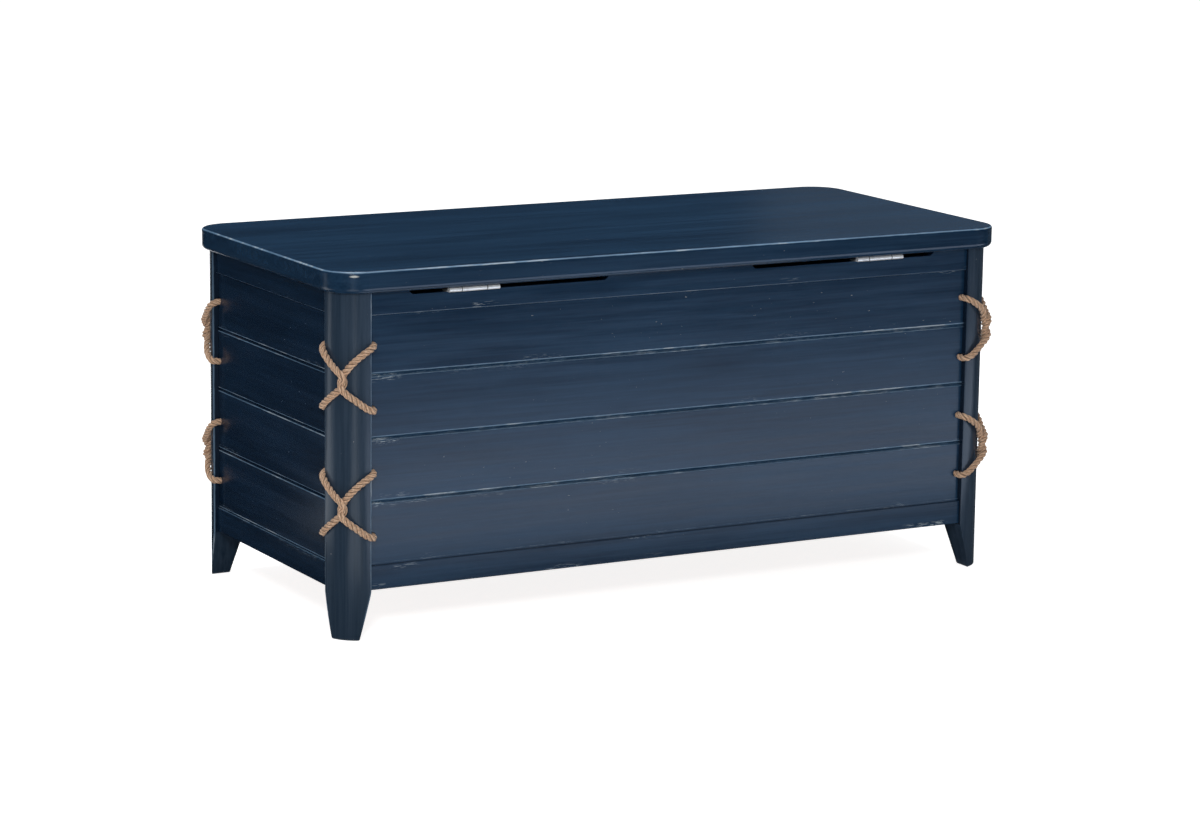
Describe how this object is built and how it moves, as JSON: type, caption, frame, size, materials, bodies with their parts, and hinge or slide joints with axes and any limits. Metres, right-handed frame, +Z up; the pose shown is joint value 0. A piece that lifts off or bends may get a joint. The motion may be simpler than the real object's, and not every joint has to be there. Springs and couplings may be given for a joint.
{
  "type": "blanket chest",
  "caption": "Low rectangular wooden storage chest with a hinged overhanging lid, quarter-round corner posts on tapered feet, grooved boards and corner rope lacings.",
  "frame": {"origin": "on the floor under the middle of the chest", "axes": "+X along the length, towards the right end seen from the front; +Y towards the hinge side (back); +Z up"},
  "size_m": [1.1262, 0.5242, 0.53],
  "materials": {
    "painted_wood": "deep navy paint rubbed through to pale undercoat along edges and grooves, satin",
    "cedar": "bare red cedar, sanded, unfinished",
    "hinge_steel": "bright zinc plated steel",
    "screw_steel": "zinc plated steel",
    "jute_rope": "tan three-strand twisted jute, slightly fuzzy"
  },
  "bodies": {
    "chest": {"post_back_right": "painted_wood", "post_back_left": "painted_wood", "post_front_right": "painted_wood", "post_front_left": "painted_wood", "top_rail_back": "painted_wood", "bottom_rail_back": "painted_wood", "top_rail_left": "painted_wood", "bottom_rail_left": "painted_wood", "top_rail_front": "painted_wood", "bottom_rail_front": "painted_wood", "top_rail_right": "painted_wood", "bottom_rail_right": "painted_wood", "board_back_1": "painted_wood", "board_back_2": "painted_wood", "board_back_3": "painted_wood", "board_back_4": "painted_wood", "board_left_1": "painted_wood", "board_left_2": "painted_wood", "board_left_3": "painted_wood", "board_left_4": "painted_wood", "board_front_1": "painted_wood", "board_front_2": "painted_wood", "board_front_3": "painted_wood", "board_front_4": "painted_wood", "board_right_1": "painted_wood", "board_right_2": "painted_wood", "board_right_3": "painted_wood", "board_right_4": "painted_wood", "lining_back": "cedar", "floor_cleat_back": "cedar", "lining_left": "cedar", "floor_cleat_left": "cedar", "lining_front": "cedar", "floor_cleat_front": "cedar", "lining_right": "cedar", "floor_cleat_right": "cedar", "floor_panel": "cedar", "floor_batten": "cedar", "hinge_left_chest_leaf": "hinge_steel", "hinge_right_chest_leaf": "hinge_steel", "hinge_pins": "hinge_steel", "hinge_screws_chest": "screw_steel", "lacing_back_right_upper": "jute_rope", "lacing_back_right_lower": "jute_rope", "lacing_back_left_upper": "jute_rope", "lacing_back_left_lower": "jute_rope", "lacing_front_right_upper": "jute_rope", "lacing_front_right_lower": "jute_rope", "lacing_front_left_upper": "jute_rope", "lacing_front_left_lower": "jute_rope"},
    "lid": {"lid_panel": "painted_wood", "lid_edge_back": "painted_wood", "lid_edge_left": "painted_wood", "lid_edge_front": "painted_wood", "lid_edge_right": "painted_wood", "lid_lining": "cedar", "hinge_left_lid_leaf": "hinge_steel", "hinge_right_lid_leaf": "hinge_steel", "hinge_screws_lid": "screw_steel"}
  },
  "joints": [
    {"name": "lid_hinge", "type": "hinge", "parent": "chest", "child": "lid", "pos_m": [0, 0.2475, 0.4942], "axis": [-1, 0, 0], "range_deg": [0, 100]}
  ]
}
